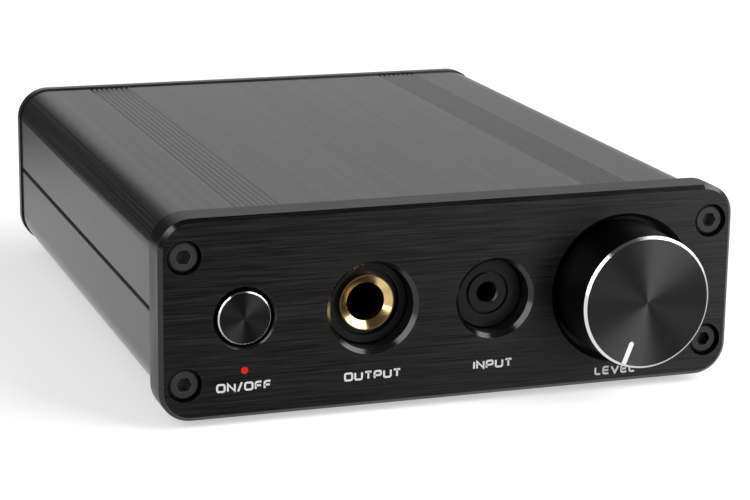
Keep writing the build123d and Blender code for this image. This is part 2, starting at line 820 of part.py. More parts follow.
line_leaf_count = 2
line_leaf_y = line_cavity_y + contact_thickness
line_leaf_pitch = (line_body_y - line_body_wall - line_leaf_y) / line_leaf_count
with BuildPart() as line_jack_contacts:
    with BuildSketch(Plane.YZ.offset(line_x - line_contact_width / 2)):
        for place in range(line_leaf_count):
            with BuildLine():
                Polyline(
                    leaf_outline(
                        line_leaf_y + place * line_leaf_pitch,
                        line_leaf_pitch,
                        control_z - line_cavity_width / 2,
                        control_z - line_bore_radius - plug_clearance,
                    ),
                    close=True,
                )
            make_face()
    extrude(amount=line_contact_width)

# ==== Phono sockets on the rear panel ====
rca_seat_y = shell_back_y - rca_seat_depth
rca_end_y = rear_face_y + rca_projection
rca_inner_radius = rca_radius - rca_shell_wall
with BuildPart() as rca_housing:
    with BuildSketch(facing(shell_back_y)):
        with Locations((rca_x, board_top_z)):
            Rectangle(
                rca_spacing + 2 * (rca_radius + rca_housing_margin),
                socket_height + rca_radius + rca_housing_margin,
                align=(Align.CENTER, Align.MIN),
            )
    extrude(amount=rca_housing_length)
    with BuildSketch(facing(shell_back_y)):
        with Locations(*rca_points):
            Circle(rca_base_radius)
    extrude(amount=rca_seat_depth, mode=Mode.SUBTRACT)

with BuildPart() as rca_shells:
    for x, z in rca_points:
        with BuildSketch(turning_plane(x, z)):
            with BuildLine():
                Polyline(
                    (rca_seat_y, rca_inner_radius),
                    (rca_end_y, rca_inner_radius),
                    (rca_end_y, rca_radius),
                    (rear_face_y, rca_radius),
                    (rear_face_y, rca_base_radius),
                    (rca_seat_y, rca_base_radius),
                    close=True,
                )
            make_face()
        revolve(axis=turning_axis(x, z))


# The plastic insulator inside one phono socket.
def insulator(point):
    x, z = point
    with BuildPart() as ring:
        with BuildSketch(turning_plane(x, z)):
            with BuildLine():
                Polyline(
                    (rca_seat_y, rca_contact_radius),
                    (rca_end_y - rca_insulator_recess, rca_contact_radius),
                    (rca_end_y - rca_insulator_recess, rca_inner_radius),
                    (rca_seat_y, rca_inner_radius),
                    close=True,
                )
            make_face()
        revolve(axis=turning_axis(x, z))
    return ring


rca_insulator_white = insulator(rca_points[1])
rca_insulator_red = insulator(rca_points[0])

with BuildPart() as rca_contacts:
    for x, z in rca_points:
        with BuildSketch(turning_plane(x, z)):
            with BuildLine():
                Polyline(
                    (rca_seat_y, rca_socket_radius),
                    (rca_end_y - rca_contact_recess, rca_socket_radius),
                    (rca_end_y - rca_contact_recess, rca_contact_radius),
                    (rca_seat_y, rca_contact_radius),
                    close=True,
                )
            make_face()
        revolve(axis=turning_axis(x, z))

# ==== Power inlet behind the rear panel, for a 5.5 mm barrel plug ====
dc_case_back_y = shell_back_y - dc_case_length
dc_floor_y = shell_back_y - dc_bore_depth
with BuildPart() as dc_inlet_case:
    with BuildSketch(facing(shell_back_y)):
        with Locations((dc_x, board_top_z)):
            Rectangle(
                dc_case_width,
                socket_height + dc_case_width / 2,
                align=(Align.CENTER, Align.MIN),
            )
    extrude(amount=dc_case_length)
    with BuildSketch(facing(shell_back_y)):
        with Locations((dc_x, control_z)):
            Circle(dc_bore_radius)
    extrude(amount=dc_bore_depth, mode=Mode.SUBTRACT)
    with BuildSketch(facing(dc_floor_y)):
        with Locations((dc_x, control_z)):
            Rectangle(dc_tail_width, dc_tail_width)
    extrude(amount=dc_floor_y - dc_case_back_y, mode=Mode.SUBTRACT)

with BuildPart() as dc_centre_pin:
    with BuildSketch(facing(shell_back_y - dc_pin_recess)):
        with Locations((dc_x, control_z)):
            Circle(dc_pin_radius)
    extrude(amount=dc_bore_depth - dc_pin_recess)
    with BuildSketch(facing(dc_floor_y)):
        with Locations((dc_x, control_z)):
            Rectangle(dc_tail_width, dc_tail_width)
    extrude(amount=dc_floor_y - dc_case_back_y)

# ==== Circuit board ====
with BuildPart() as circuit_board:
    with BuildSketch(Plane.XY.offset(board_bottom_z)):
        with Locations((0, board_middle_y)):
            Rectangle(board_width, board_back_y - board_front_y)
    extrude(amount=board_thickness)
board_top = Plane.XY.offset(board_top_z)

# ==== Power supply, in line with the inlet: capacitors, heatsink, regulators and choke ====
supply_x = dc_x + supply_offset
capacitor_y = dc_case_back_y - capacitor_inlet_gap - capacitor_radius
with BuildPart() as filter_capacitors:
    with BuildSketch(board_top):
        with Locations((supply_x, capacitor_y)):
            with GridLocations(capacitor_spacing, capacitor_spacing, 2, 1):
                Circle(capacitor_radius)
    extrude(amount=capacitor_height)

fin_tip_y = capacitor_y - capacitor_radius - heatsink_capacitor_gap
fin_root_y = fin_tip_y - fin_length
heatsink_front_y = fin_root_y - heatsink_back_thickness
heatsink_width = (fin_count - 1) * fin_spacing + fin_thickness
with BuildPart() as heatsink:
    with BuildSketch(board_top):
        with Locations((supply_x, heatsink_front_y)):
            Rectangle(heatsink_width, heatsink_back_thickness, align=(Align.CENTER, Align.MIN))
        with Locations((supply_x, fin_root_y)):
            with GridLocations(fin_spacing, fin_spacing, fin_count, 1):
                Rectangle(fin_thickness, fin_length, align=(Align.CENTER, Align.MIN))
    extrude(amount=heatsink_height)

with BuildPart() as voltage_regulators:
    with BuildSketch(board_top.offset(regulator_leg_height)):
        with Locations((supply_x, heatsink_front_y)):
            with GridLocations(regulator_spacing, regulator_spacing, 2, 1):
                Rectangle(regulator_width, regulator_tab_thickness, align=(Align.CENTER, Align.MAX))
    extrude(amount=regulator_height)
    with BuildSketch(board_top.offset(regulator_leg_height)):
        with Locations((supply_x, heatsink_front_y - regulator_tab_thickness)):
            with GridLocations(regulator_spacing, regulator_spacing, 2, 1):
                Rectangle(regulator_width, regulator_body_thickness, align=(Align.CENTER, Align.MAX))
    extrude(amount=regulator_body_height)
    with BuildSketch(board_top):
        with Locations((supply_x, heatsink_front_y - regulator_tab_thickness)):
            with GridLocations(regulator_spacing, regulator_spacing, 2, 1):
                with GridLocations(leg_spacing, leg_spacing, 3, 1):
                    Rectangle(regulator_leg_width, regulator_leg_thickness, align=(Align.CENTER, Align.MAX))
    extrude(amount=regulator_leg_height)

choke_x = dc_x + dc_case_width / 2 + choke_inlet_gap + choke_width / 2
with BuildPart() as input_choke:
    with BuildSketch(board_top):
        with Locations((choke_x, dc_case_back_y + choke_width / 2)):
            Rectangle(choke_width, choke_width)
    extrude(amount=choke_height)

# ==== Signal side, in line with the phono sockets: relay, amplifier chips, capacitors and resistors ====
rca_housing_front_y = shell_back_y - rca_housing_length
film_y = rca_housing_front_y - film_socket_gap - film_row_spacing - film_length / 2
with BuildPart() as film_capacitors:
    with BuildSketch(board_top):
        with Locations((rca_x + signal_offset, film_y)):
            with GridLocations(film_spacing, film_row_spacing, 2, 3):
                Rectangle(film_width, film_length)
    extrude(amount=film_height)

resistor_y = film_y - film_row_spacing - film_length / 2 - resistor_film_gap
with BuildPart() as resistors:
    with BuildSketch(board_top):
        with Locations((rca_x + signal_offset, resistor_y)):
            with GridLocations(resistor_spacing, resistor_spacing, 6, 1):
                Rectangle(resistor_width, resistor_length)
    extrude(amount=resistor_height)

relay_y = rca_housing_front_y - relay_socket_gap - relay_length / 2
with BuildPart() as muting_relay:
    with BuildSketch(board_top):
        with Locations((rca_x + amplifier_offset, relay_y)):
            Rectangle(relay_width, relay_length)
    extrude(amount=relay_height)

amplifier_y = relay_y - relay_length / 2 - amplifier_relay_gap - chip_length / 2
amplifier_place = (rca_x + amplifier_offset, amplifier_y)
with BuildPart() as chip_sockets:
    with BuildSketch(board_top):
        with Locations(amplifier_place):
            with GridLocations(amplifier_spacing, amplifier_spacing, 2, 1):
                Rectangle(chip_socket_width, chip_socket_length)
                Rectangle(chip_socket_opening_width, chip_socket_opening_length, mode=Mode.SUBTRACT)
    extrude(amount=chip_socket_height)

with BuildPart() as amplifier_chips:
    with BuildSketch(board_top.offset(chip_socket_height)):
        with Locations(amplifier_place):
            with GridLocations(amplifier_spacing, amplifier_spacing, 2, 1):
                Rectangle(chip_width, chip_length)
    extrude(amount=chip_height)
    with BuildSketch(board_top.offset(chip_socket_height)):
        with Locations(amplifier_place):
            with GridLocations(amplifier_spacing, amplifier_spacing, 2, 1):
                with GridLocations(chip_width + chip_leg_width, leg_spacing, 2, 4):
                    Rectangle(chip_leg_width, chip_leg_length)
    extrude(amount=chip_leg_height)

# ==== Write each piece to its own file ====
pieces = {
    "front_panel": front_panel,
    "top_shell": top_shell,
    "bottom_shell": bottom_shell,
    "rear_panel": rear_panel,
    "front_screws": front_screws,
    "rear_screws": rear_screws,
    "rubber_feet": rubber_feet,
    "volume_knob": volume_knob,
    "knob_pointer": knob_pointer,
    "pot_shaft": pot_shaft,
    "pot_bushing": pot_bushing,
    "pot_nut": pot_nut,
    "pot_case": pot_case,
    "pot_terminals": pot_terminals,
    "power_button": power_button,
    "switch_plunger": switch_plunger,
    "switch_case": switch_case,
    "light_pipe": light_pipe,
    "power_led": power_led,
    "phone_jack_ferrule": phone_jack_ferrule,
    "phone_jack_nut": phone_jack_nut,
    "phone_jack_body": phone_jack_body,
    "phone_jack_contacts": phone_jack_contacts,
    "line_jack_collar": line_jack_collar,
    "line_jack_nut": line_jack_nut,
    "line_jack_body": line_jack_body,
    "line_jack_contacts": line_jack_contacts,
    "rca_housing": rca_housing,
    "rca_shells": rca_shells,
    "rca_insulator_white": rca_insulator_white,
    "rca_insulator_red": rca_insulator_red,
    "rca_contacts": rca_contacts,
    "dc_inlet_case": dc_inlet_case,
    "dc_centre_pin": dc_centre_pin,
    "circuit_board": circuit_board,
    "filter_capacitors": filter_capacitors,
    "film_capacitors": film_capacitors,
    "chip_sockets": chip_sockets,
    "amplifier_chips": amplifier_chips,
    "heatsink": heatsink,
    "voltage_regulators": voltage_regulators,
    "muting_relay": muting_relay,
    "input_choke": input_choke,
    "resistors": resistors,
}
os.makedirs("parts", exist_ok=True)
for name, piece in pieces.items():
    piece.part.label = name
    export_step(piece.part, f"parts/{name}.step")
print(len(pieces), "pieces written")
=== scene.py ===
import json
from math import cos, pi, radians, sin

import bpy
import bmesh
from mathutils import Matrix, Vector


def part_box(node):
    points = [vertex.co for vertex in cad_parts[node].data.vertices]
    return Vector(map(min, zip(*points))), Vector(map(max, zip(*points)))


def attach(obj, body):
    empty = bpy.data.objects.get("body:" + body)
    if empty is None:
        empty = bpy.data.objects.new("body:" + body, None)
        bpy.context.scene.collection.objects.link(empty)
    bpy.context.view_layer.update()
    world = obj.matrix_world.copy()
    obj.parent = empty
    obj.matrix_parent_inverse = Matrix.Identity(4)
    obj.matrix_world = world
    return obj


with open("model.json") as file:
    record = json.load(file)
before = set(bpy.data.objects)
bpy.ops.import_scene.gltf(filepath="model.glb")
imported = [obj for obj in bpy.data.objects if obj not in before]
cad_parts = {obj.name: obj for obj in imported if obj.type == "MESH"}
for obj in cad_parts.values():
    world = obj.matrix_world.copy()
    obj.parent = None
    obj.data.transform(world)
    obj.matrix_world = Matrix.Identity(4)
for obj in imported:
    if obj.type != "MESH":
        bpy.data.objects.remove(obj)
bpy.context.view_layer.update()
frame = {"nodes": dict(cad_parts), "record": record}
mm = 0.001

# places that the rest is worked out from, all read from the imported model
plateLow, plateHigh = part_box("front_panel")
knobLow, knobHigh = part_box("volume_knob")
buttonLow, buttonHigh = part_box("power_button")
phoneLow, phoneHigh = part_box("phone_jack_nut")
lineLow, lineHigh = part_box("line_jack_nut")
plateX = (plateLow.x + plateHigh.x) / 2
knobCentre = (knobLow + knobHigh) / 2
knobRadius = (knobHigh.x - knobLow.x) / 2
buttonCentre = (buttonLow + buttonHigh) / 2
buttonRadius = (buttonHigh.x - buttonLow.x) / 2
phoneCentre = (phoneLow + phoneHigh) / 2
lineCentre = (lineLow + lineHigh) / 2


# small helpers for node trees

def addNode(tree, kind, inputs=None, **settings):
    node = tree.nodes.new(kind)
    for name, value in settings.items():
        setattr(node, name, value)
    for name, value in (inputs or {}).items():
        node.inputs[name].default_value = value
    return node


def feed(tree, source, target):
    tree.links.new(source, target)


def mathNode(tree, operation, first, second=None, clamp=False):
    node = addNode(tree, "ShaderNodeMath", operation=operation, use_clamp=clamp)
    for socket, value in zip(node.inputs, (first, second)):
        if isinstance(value, bpy.types.NodeSocket):
            feed(tree, value, socket)
        elif value is not None:
            socket.default_value = value
    return node.outputs[0]


def blendColours(tree, mask, first, second):
    node = addNode(tree, "ShaderNodeMix", data_type="RGBA")
    feed(tree, mask, node.inputs["Factor"])
    for socket, value in ((node.inputs[6], first), (node.inputs[7], second)):
        if isinstance(value, bpy.types.NodeSocket):
            feed(tree, value, socket)
        else:
            socket.default_value = (*value, 1)
    return node.outputs[2]


def spread(tree, value, low, high, fromLow=0.0, fromHigh=1.0, smooth=False):
    node = addNode(tree, "ShaderNodeMapRange")
    if smooth:
        node.interpolation_type = "SMOOTHSTEP"
    feed(tree, value, node.inputs["Value"])
    for name, number in (("From Min", fromLow), ("From Max", fromHigh), ("To Min", low), ("To Max", high)):
        node.inputs[name].default_value = number
    return node.outputs["Result"]


def newMaterial(name):
    material = bpy.data.materials.new(name)
    material.use_nodes = True
    tree = material.node_tree
    tree.nodes.clear()
    shader = addNode(tree, "ShaderNodeBsdfPrincipled")
    output = addNode(tree, "ShaderNodeOutputMaterial")
    feed(tree, shader.outputs["BSDF"], output.inputs["Surface"])
    return material, tree, shader


def newGroup(name, inputs, outputs):
    tree = bpy.data.node_groups.new(name, "ShaderNodeTree")
    for label, kind, value in inputs:
        socket = tree.interface.new_socket(name=label, in_out="INPUT", socket_type=kind)
        socket.default_value = value
    for label, kind in outputs:
        tree.interface.new_socket(name=label, in_out="OUTPUT", socket_type=kind)
    return tree, addNode(tree, "NodeGroupInput"), addNode(tree, "NodeGroupOutput")


def useGroup(tree, group, **values):
    node = addNode(tree, "ShaderNodeGroup", node_tree=group)
    for name, value in values.items():
        socket = node.inputs[name]
        if isinstance(value, bpy.types.NodeSocket):
            feed(tree, value, socket)
        else:
            socket.default_value = value
    return node


def objectPlace(tree):
    return addNode(tree, "ShaderNodeTexCoord").outputs["Object"]


def addGroove(tree, shader, axis, amount, turn=0.0):
    # the shine spreads across the grooves, which run round the axis; turned by a quarter, along it
    shader.inputs["Anisotropic"].default_value = amount
    shader.inputs["Anisotropic Rotation"].default_value = turn
    tangent = addNode(tree, "ShaderNodeTangent", direction_type="RADIAL", axis=axis)
    feed(tree, tangent.outputs["Tangent"], shader.inputs["Tangent"])


def roughen(tree, shader, height, strength, distance):
    bump = addNode(tree, "ShaderNodeBump")
    bump.inputs["Strength"].default_value = strength
    bump.inputs["Distance"].default_value = distance
    feed(tree, height, bump.inputs["Height"])
    feed(tree, bump.outputs["Normal"], shader.inputs["Normal"])


# effects that several materials share

def makeLines():
    # fine parallel lines: noise drawn out along one axis, in two sizes
    tree, given, result = newGroup(
        "Brushed lines",
        [("Place", "NodeSocketVector", (0, 0, 0)), ("Stretch", "NodeSocketVector", (1, 1, 1))],
        [("Fine", "NodeSocketFloat"), ("Broad", "NodeSocketFloat")],
    )
    scaled = addNode(tree, "ShaderNodeVectorMath", operation="MULTIPLY")
    feed(tree, given.outputs["Place"], scaled.inputs[0])
    feed(tree, given.outputs["Stretch"], scaled.inputs[1])
    for label, scale, detail in (("Fine", 1.0, 2.0), ("Broad", 0.27, 3.0)):
        noise = addNode(tree, "ShaderNodeTexNoise", {"Scale": scale, "Detail": detail, "Roughness": 0.6})
        feed(tree, scaled.outputs[0], noise.inputs["Vector"])
        feed(tree, noise.outputs["Fac"], result.inputs[label])
    return tree


def makeTurning():
    # rings left by a lathe round an axis that points along Y
    tree, given, result = newGroup(
        "Turned rings",
        [
            ("Place", "NodeSocketVector", (0, 0, 0)),
            ("Centre", "NodeSocketVector", (0, 0, 0)),
            ("Pitch", "NodeSocketFloat", 0.0001),
        ],
        [("Rings", "NodeSocketFloat"), ("Radius", "NodeSocketFloat")],
    )
    offset = addNode(tree, "ShaderNodeVectorMath", operation="SUBTRACT")
    feed(tree, given.outputs["Place"], offset.inputs[0])
    feed(tree, given.outputs["Centre"], offset.inputs[1])
    flat = addNode(tree, "ShaderNodeVectorMath", operation="MULTIPLY")
    flat.inputs[1].default_value = (1, 0, 1)
    feed(tree, offset.outputs[0], flat.inputs[0])
    length = addNode(tree, "ShaderNodeVectorMath", operation="LENGTH")
    feed(tree, flat.outputs[0], length.inputs[0])
    turns = mathNode(tree, "DIVIDE", length.outputs["Value"], given.outputs["Pitch"])
    noise = addNode(tree, "ShaderNodeTexNoise", {"Scale": 1.0, "Detail": 1.0}, noise_dimensions="1D")
    feed(tree, turns, noise.inputs["W"])
    feed(tree, noise.outputs["Fac"], result.inputs["Rings"])
    feed(tree, length.outputs["Value"], result.inputs["Radius"])
    return tree


def makeEdgeWearAndHighlight():
    # 1 on sharp outer edges, broken up by noise, 0 on flat ground; the lighter edge it gives is partly wear
    # and partly a painted highlight
    tree, given, result = newGroup(
        "Edge wear and highlight",
        [("Width", "NodeSocketFloat", 0.0003), ("Place", "NodeSocketVector", (0, 0, 0))],
        [("WearAndHighlight", "NodeSocketFloat")],
    )
    bevel = addNode(tree, "ShaderNodeBevel", samples=4)
    feed(tree, given.outputs["Width"], bevel.inputs["Radius"])
    ground = addNode(tree, "ShaderNodeNewGeometry")
    dot = addNode(tree, "ShaderNodeVectorMath", operation="DOT_PRODUCT")
    feed(tree, bevel.outputs["Normal"], dot.inputs[0])
    feed(tree, ground.outputs["Normal"], dot.inputs[1])
    edge = spread(tree, dot.outputs["Value"], 1.0, 0.0, 0.80, 0.985)
    noise = addNode(tree, "ShaderNodeTexNoise", {"Scale": 900.0, "Detail": 3.0})
    feed(tree, given.outputs["Place"], noise.inputs["Vector"])
    broken = spread(tree, noise.outputs["Fac"], 0.35, 1.0, 0.35, 0.6)
    feed(tree, mathNode(tree, "MULTIPLY", edge, broken, clamp=True), result.inputs["WearAndHighlight"])
    return tree


def makeGrain():
    # fine moulded or blasted grain, with a slow unevenness on top
    tree, given, result = newGroup(
        "Fine grain",
        [("Place", "NodeSocketVector", (0, 0, 0)), ("Size", "NodeSocketFloat", 0.0002)],
        [("Grain", "NodeSocketFloat"), ("Uneven", "NodeSocketFloat")],
    )
    scale = mathNode(tree, "DIVIDE", 1.0, given.outputs["Size"])
    cells = addNode(tree, "ShaderNodeTexVoronoi", feature="SMOOTH_F1")
    feed(tree, given.outputs["Place"], cells.inputs["Vector"])
    feed(tree, scale, cells.inputs["Scale"])
    slow = addNode(tree, "ShaderNodeTexNoise", {"Scale": 90.0, "Detail": 4.0, "Roughness": 0.65})
    feed(tree, given.outputs["Place"], slow.inputs["Vector"])
    feed(tree, cells.outputs["Distance"], result.inputs["Grain"])
    feed(tree, slow.outputs["Fac"], result.inputs["Uneven"])
    return tree


brushedLines = makeLines()
turnedRings = makeTurning()
edgeWearAndHighlight = makeEdgeWearAndHighlight()
fineGrain = makeGrain()
print("shared effects made")


# anodised metal

plateFinish = {
    "black": (0.0010, 0.0010, 0.0010),
    "lineGrey": (0.0095, 0.0095, 0.0096),
    "edgeWearAndHighlightGrey": (0.03, 0.03, 0.03),
    "roughLow": 0.26,
    "roughHigh": 0.36,
    "bevelRough": 0.15,
    "stretch": (100, 6200, 6200),  # lines from side to side
    "streaks": (0.42, 0.68),  # where the noise turns from black to grey
    "groove": 0.5,
    "edgeWearAndHighlightWidth": 0.22 * mm,
    "bumpStrength": 0.5,
    "bumpDepth": 0.008 * mm,
}
bevelFacing = {"forward": -sin(radians(45)), "tolerance": 0.12}


def bevelMask(tree, coords):
    # 1 on the milled 45 degree bevels, which have no brushed lines
    facing = addNode(tree, "ShaderNodeSeparateXYZ")
    feed(tree, coords.outputs["Normal"], facing.inputs[0])
    away = mathNode(tree, "SUBTRACT", facing.outputs["Y"], bevelFacing["forward"])
    return mathNode(tree, "LESS_THAN", mathNode(tree, "ABSOLUTE", away), bevelFacing["tolerance"])


def makePlateMaterial(name):
    material, tree, shader = newMaterial(name)
    coords = addNode(tree, "ShaderNodeTexCoord")
    place = coords.outputs["Object"]
    lines = useGroup(tree, brushedLines, Place=place, Stretch=plateFinish["stretch"])
    wearAndHighlight = useGroup(tree, edgeWearAndHighlight, Width=plateFinish["edgeWearAndHighlightWidth"], Place=place)
    bevel = bevelMask(tree, coords)
    streaks = spread(tree, lines.outputs["Fine"], 0, 1, *plateFinish["streaks"])
    colour = blendColours(tree, streaks, plateFinish["black"], plateFinish["lineGrey"])
    # lighter edges: partly wear, partly a painted highlight
    colour = blendColours(tree, wearAndHighlight.outputs["WearAndHighlight"], colour, plateFinish["edgeWearAndHighlightGrey"])
    feed(tree, colour, shader.inputs["Base Color"])
    brushed = spread(tree, lines.outputs["Fine"], plateFinish["roughLow"], plateFinish["roughHigh"], 0.3, 0.7)
    roughness = addNode(tree, "ShaderNodeMix", {"B": plateFinish["bevelRough"]})
    feed(tree, bevel, roughness.inputs["Factor"])
    feed(tree, brushed, roughness.inputs["A"])
    feed(tree, roughness.outputs[0], shader.inputs["Roughness"])
    addGroove(tree, shader, "X", plateFinish["groove"])
    height = mathNode(tree, "MULTIPLY", lines.outputs["Fine"], mathNode(tree, "SUBTRACT", 1.0, bevel))
    roughen(tree, shader, height, plateFinish["bumpStrength"], plateFinish["bumpDepth"])
    return material


shellFinish = {
    "black": (0.004, 0.004, 0.0041),
    "lineGrey": (0.034, 0.034, 0.0346),
    "edgeWearAndHighlightGrey": (0.05, 0.05, 0.05),
    "roughLow": 0.14,
    "roughHigh": 0.19,
    "stretch": (2800, 12, 2800),  # lines from front to back
    "streaks": (0.14, 0.4),
    "groove": 0.6,
    "edgeWearAndHighlightWidth": 0.2 * mm,
    "bumpStrength": 0.4,
    "bumpDepth": 0.007 * mm,
}


def makeShellMaterial(name):
    material, tree, shader = newMaterial(name)
    place = objectPlace(tree)
    lines = useGroup(tree, brushedLines, Place=place, Stretch=shellFinish["stretch"])
    wearAndHighlight = useGroup(tree, edgeWearAndHighlight, Width=shellFinish["edgeWearAndHighlightWidth"], Place=place)
    streaks = mathNode(tree, "MULTIPLY", lines.outputs["Fine"], lines.outputs["Broad"])
    streaks = spread(tree, streaks, 0, 1, *shellFinish["streaks"])
    colour = blendColours(tree, streaks, shellFinish["black"], shellFinish["lineGrey"])
    # lighter edges: partly wear, partly a painted highlight
    colour = blendColours(tree, wearAndHighlight.outputs["WearAndHighlight"], colour, shellFinish["edgeWearAndHighlightGrey"])
    feed(tree, colour, shader.inputs["Base Color"])
    brushed = spread(tree, lines.outputs["Fine"], shellFinish["roughLow"], shellFinish["roughHigh"], 0.3, 0.7)
    feed(tree, brushed, shader.inputs["Roughness"])
    addGroove(tree, shader, "Y", shellFinish["groove"])
    roughen(tree, shader, lines.outputs["Fine"], shellFinish["bumpStrength"], shellFinish["bumpDepth"])
    return material


rearFinish = {
    "black": (0.016, 0.016, 0.0163),
    "edgeWearAndHighlightGrey": (0.09, 0.09, 0.09),
    "roughLow": 0.2,
    "roughHigh": 0.28,
    "grainSize": 0.09 * mm,
    "edgeWearAndHighlightWidth": 0.2 * mm,
    "bumpStrength": 0.35,
    "bumpDepth": 0.01 * mm,
}


def makeRearMaterial(name):
    material, tree, shader = newMaterial(name)
    place = objectPlace(tree)
    grain = useGroup(tree, fineGrain, Place=place, Size=rearFinish["grainSize"])
    wearAndHighlight = useGroup(tree, edgeWearAndHighlight, Width=rearFinish["edgeWearAndHighlightWidth"], Place=place)
    # lighter edges: partly wear, partly a painted highlight
    colour = blendColours(tree, wearAndHighlight.outputs["WearAndHighlight"], rearFinish["black"], rearFinish["edgeWearAndHighlightGrey"])
    feed(tree, colour, shader.inputs["Base Color"])
    low, high = rearFinish["roughLow"], rearFinish["roughHigh"]
    feed(tree, spread(tree, grain.outputs["Uneven"], low, high, 0.35, 0.65), shader.inputs["Roughness"])
    roughen(tree, shader, grain.outputs["Grain"], rearFinish["bumpStrength"], rearFinish["bumpDepth"])
    return material


turnedFinish = {
    "side": (0.028, 0.028, 0.0283),
    "sideRough": 0.27,
    "bright": (0.88, 0.88, 0.87),
    "rimRough": 0.24,
    "faceRoughLow": 0.38,
    "faceRoughHigh": 0.48,
    "ringPitch": 0.12 * mm,
    "groove": 0.95,
    "bumpStrength": 0.2,
    "bumpDepth": 0.003 * mm,
    "flatFacing": 0.97,  # how squarely the flat face looks forward, at least
    "rimFacing": 0.3,  # and the bevelled rim
}
knobFinish = {"rimWidth": 0.46 * mm, "face": 0.056}
buttonFinish = {"rimWidth": 0.22 * mm, "face": 0.034}


def makeTurnedMaterial(name, centre, radius, rimWidth, face):  # face is its grey
    # black turned face and side, and a bare metal rim cut after the anodising
    material, tree, shader = newMaterial(name)
    coords = addNode(tree, "ShaderNodeTexCoord")
    facing = addNode(tree, "ShaderNodeSeparateXYZ")
    feed(tree, coords.outputs["Normal"], facing.inputs[0])
    rings = useGroup(
        tree, turnedRings, Place=coords.outputs["Object"], Centre=centre, Pitch=turnedFinish["ringPitch"]
    )
    forward = mathNode(tree, "MULTIPLY", facing.outputs["Y"], -1.0)
    isFace = mathNode(tree, "GREATER_THAN", forward, turnedFinish["flatFacing"])
    notFace = mathNode(tree, "LESS_THAN", forward, turnedFinish["flatFacing"])
    notSide = mathNode(tree, "GREATER_THAN", forward, turnedFinish["rimFacing"])
    slanted = mathNode(tree, "MULTIPLY", notFace, notSide)
    outer = mathNode(tree, "GREATER_THAN", rings.outputs["Radius"], radius - rimWidth)
    isRim = mathNode(tree, "MULTIPLY", slanted, outer)
    black = blendColours(tree, isFace, turnedFinish["side"], (face, face, 1.01 * face))
    feed(tree, blendColours(tree, isRim, black, turnedFinish["bright"]), shader.inputs["Base Color"])
    shader.inputs["Metallic"].default_value = 1.0
    low, high = turnedFinish["faceRoughLow"], turnedFinish["faceRoughHigh"]
    turned = spread(tree, rings.outputs["Rings"], low, high, 0.3, 0.7)
    plain = addNode(tree, "ShaderNodeMix", {"A": turnedFinish["sideRough"], "B": turnedFinish["rimRough"]})
    feed(tree, isRim, plain.inputs["Factor"])
    roughness = addNode(tree, "ShaderNodeMix")
    feed(tree, isFace, roughness.inputs["Factor"])
    feed(tree, plain.outputs[0], roughness.inputs["A"])
    feed(tree, turned, roughness.inputs["B"])
    feed(tree, roughness.outputs[0], shader.inputs["Roughness"])
    addGroove(tree, shader, "Y", turnedFinish["groove"], turn=0.25)
    height = mathNode(tree, "MULTIPLY", rings.outputs["Rings"], isFace)
    roughen(tree, shader, height, turnedFinish["bumpStrength"], turnedFinish["bumpDepth"])
    return material


# screws, plating, plastics and the rest

def makeGrainyMaterial(name, colour, rough, grainSize, depth, edgeWearAndHighlightTint=None):
    # moulded plastic, rubber, black oxide and the like
    material, tree, shader = newMaterial(name)
    place = objectPlace(tree)
    grain = useGroup(tree, fineGrain, Place=place, Size=grainSize)
    darker = tuple(0.82 * part for part in colour)
    tone = blendColours(tree, spread(tree, grain.outputs["Uneven"], 0, 1, 0.35, 0.65), darker, colour)
    if edgeWearAndHighlightTint:
        # lighter edges: partly wear, partly a painted highlight, such as the lit ring on the screw heads
        wearAndHighlight = useGroup(tree, edgeWearAndHighlight, Width=0.15 * mm, Place=place)
        tone = blendColours(tree, wearAndHighlight.outputs["WearAndHighlight"], tone, edgeWearAndHighlightTint)
    feed(tree, tone, shader.inputs["Base Color"])
    moulded = spread(tree, grain.outputs["Uneven"], 0.88 * rough, 1.12 * rough, 0.35, 0.65)
    feed(tree, moulded, shader.inputs["Roughness"])
    roughen(tree, shader, grain.outputs["Grain"], 0.4, depth)
    return material


def makeDrawnMaterial(name, colour, rough, stretch):
    # plated or bare metal with faint drawn lines
    material, tree, shader = newMaterial(name)
    place = objectPlace(tree)
    lines = useGroup(tree, brushedLines, Place=place, Stretch=stretch)
    darker = tuple(0.86 * part for part in colour)
    tone = blendColours(tree, spread(tree, lines.outputs["Broad"], 0, 1, 0.35, 0.65), darker, colour)
    feed(tree, tone, shader.inputs["Base Color"])
    drawn = spread(tree, lines.outputs["Fine"], 0.8 * rough, 1.3 * rough, 0.3, 0.7)
    feed(tree, drawn, shader.inputs["Roughness"])
    shader.inputs["Metallic"].default_value = 1.0
    roughen(tree, shader, lines.outputs["Fine"], 0.15, 0.002 * mm)
    return material


indicatorFinish = {
    "red": (0.45, 0.001, 0.001),
    "roughness": 0.3,
    "glow": 0.2,
    "brightGlow": (1.0, 0.0, 0.002),
    "deepGlow": (0.75, 0.0, 0.0),
    "grainSize": 0.3 * mm,
}


def makeIndicatorMaterial(name):
    material, tree, shader = newMaterial(name)
    grain = useGroup(tree, fineGrain, Place=objectPlace(tree), Size=indicatorFinish["grainSize"])
    shader.inputs["Base Color"].default_value = (*indicatorFinish["red"], 1)
    shader.inputs["Roughness"].default_value = indicatorFinish["roughness"]
    shader.inputs["Emission Strength"].default_value = indicatorFinish["glow"]
    tints = indicatorFinish["brightGlow"], indicatorFinish["deepGlow"]
    glow = blendColours(tree, grain.outputs["Uneven"], *tints)
    feed(tree, glow, shader.inputs["Emission Color"])
    return material
